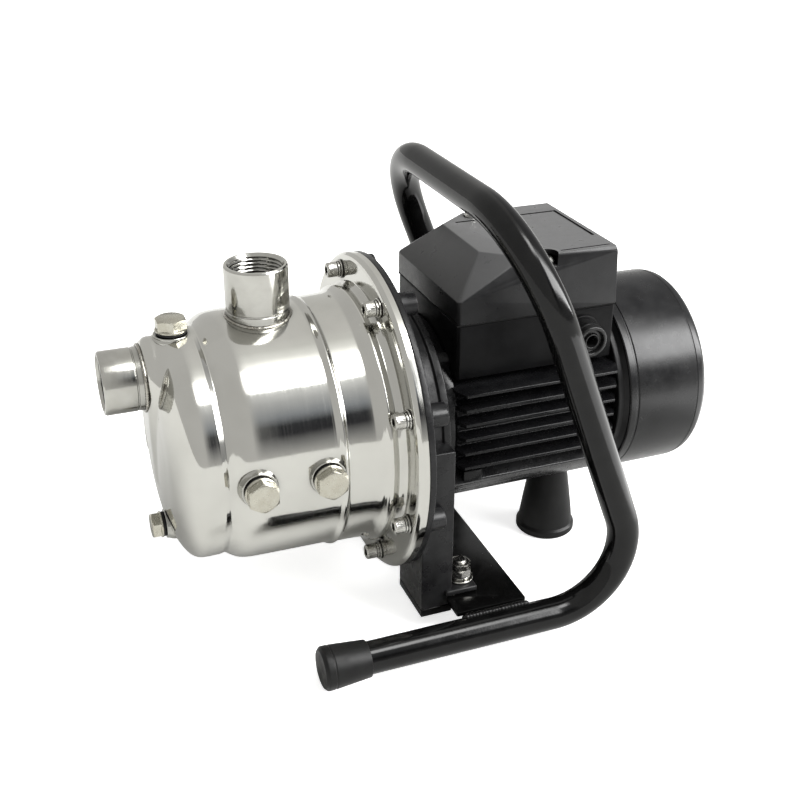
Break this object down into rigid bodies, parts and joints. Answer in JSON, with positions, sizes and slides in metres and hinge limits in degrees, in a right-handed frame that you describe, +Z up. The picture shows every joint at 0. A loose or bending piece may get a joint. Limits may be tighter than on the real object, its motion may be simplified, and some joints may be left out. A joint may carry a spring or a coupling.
{
  "type": "shallow well jet pump",
  "caption": "Self-priming jet pump: stainless casing with ejector inside, finned motor, terminal box and a bent-tube carry frame on rubber feet.",
  "frame": {"origin": "on the ground, under the centre of the pump's bounding box", "axes": "+X along the motor shaft from the suction socket to the fan cover, +Z up, -Y towards the side with the two side plugs and the cable gland"},
  "size_m": [0.3804, 0.2508, 0.2748],
  "materials": {
    "polished_steel": "mirror-polished stainless sheet",
    "socket_steel": "turned stainless",
    "plug_nickel": "nickel-plated, slightly yellow",
    "zinc_screw": "bright zinc",
    "seal_rubber": "matt black",
    "ejector_plastic": "moulded, dark grey",
    "impeller_brass": "cast and turned",
    "seal_carbon": "lapped carbon",
    "seal_ceramic": "lapped ceramic",
    "bracket_paint": "satin black on cast metal",
    "shaft_steel": "ground",
    "lamination_steel": "stacked electrical sheet",
    "bearing_steel": "ground",
    "winding_copper": "varnished copper wire",
    "frame_paint": "satin black on aluminium",
    "shield_paint": "satin black on aluminium",
    "fan_plastic": "moulded black",
    "cover_paint": "satin black on pressed sheet",
    "box_plastic": "fine-textured black",
    "gasket_rubber": "matt black",
    "capacitor_can": "satin",
    "terminal_plastic": "moulded cream",
    "gland_plastic": "moulded black",
    "tube_paint": "gloss black powder coat",
    "plate_paint": "gloss black powder coat",
    "foot_rubber": "matt black"
  },
  "bodies": {
    "pump": {"pump_casing": "polished_steel", "seal_plate": "polished_steel", "suction_socket": "socket_steel", "discharge_socket": "socket_steel", "casing_o_ring": "seal_rubber", "flange_screw_1": "zinc_screw", "flange_screw_2": "zinc_screw", "flange_screw_3": "zinc_screw", "flange_screw_4": "zinc_screw", "flange_screw_5": "zinc_screw", "flange_screw_6": "zinc_screw", "flange_screw_7": "zinc_screw", "flange_screw_8": "zinc_screw", "tie_bolt_1": "zinc_screw", "tie_bolt_2": "zinc_screw", "tie_bolt_3": "zinc_screw", "tie_bolt_4": "zinc_screw", "lid_screw_near": "zinc_screw", "lid_screw_far": "zinc_screw", "foot_bolt_near": "zinc_screw", "foot_bolt_far": "zinc_screw", "foot_nut_near": "zinc_screw", "foot_nut_far": "zinc_screw", "ejector_nozzle": "ejector_plastic", "venturi_diffuser": "ejector_plastic", "shaft_seal_seat": "seal_ceramic", "motor_bracket": "bracket_paint", "stator_core": "lamination_steel", "front_bearing": "bearing_steel", "rear_bearing": "bearing_steel", "front_winding": "winding_copper", "rear_winding": "winding_copper", "motor_frame": "frame_paint", "rear_end_shield": "shield_paint", "fan_cover": "cover_paint", "terminal_box_base": "box_plastic", "terminal_box_lid": "box_plastic", "terminal_box_gasket": "gasket_rubber", "capacitor": "capacitor_can", "terminal_block": "terminal_plastic", "cable_gland": "gland_plastic", "carry_frame": "tube_paint", "cross_plate": "plate_paint", "skid_cap_near": "foot_rubber", "skid_cap_far": "foot_rubber", "rear_foot": "foot_rubber"},
    "rotor": {"motor_shaft": "shaft_steel", "rotor_core": "lamination_steel", "impeller": "impeller_brass", "shaft_seal_ring": "seal_carbon", "cooling_fan": "fan_plastic"},
    "filler": {"filler_plug": "plug_nickel", "filler_plug_seal": "seal_rubber"},
    "drain": {"drain_plug": "plug_nickel", "drain_plug_seal": "seal_rubber"},
    "front_side": {"front_side_plug": "plug_nickel", "front_side_plug_seal": "seal_rubber"},
    "rear_side": {"rear_side_plug": "plug_nickel", "rear_side_plug_seal": "seal_rubber"}
  },
  "joints": [
    {"name": "rotor_spin", "type": "hinge", "parent": "pump", "child": "rotor", "pos_m": [-0.02275, 0, 0.1188], "axis": [1, 0, 0], "continuous": true},
    {"name": "filler_plug_removal", "type": "slide", "parent": "pump", "child": "filler", "axis": [0, 0, 1], "range_m": [0, 0.04]},
    {"name": "drain_plug_removal", "type": "slide", "parent": "pump", "child": "drain", "axis": [-1, 0, 0], "range_m": [0, 0.03]},
    {"name": "front_side_plug_removal", "type": "slide", "parent": "pump", "child": "front_side", "axis": [0, -1, 0], "range_m": [0, 0.03]},
    {"name": "rear_side_plug_removal", "type": "slide", "parent": "pump", "child": "rear_side", "axis": [0, -1, 0], "range_m": [0, 0.03]}
  ]
}
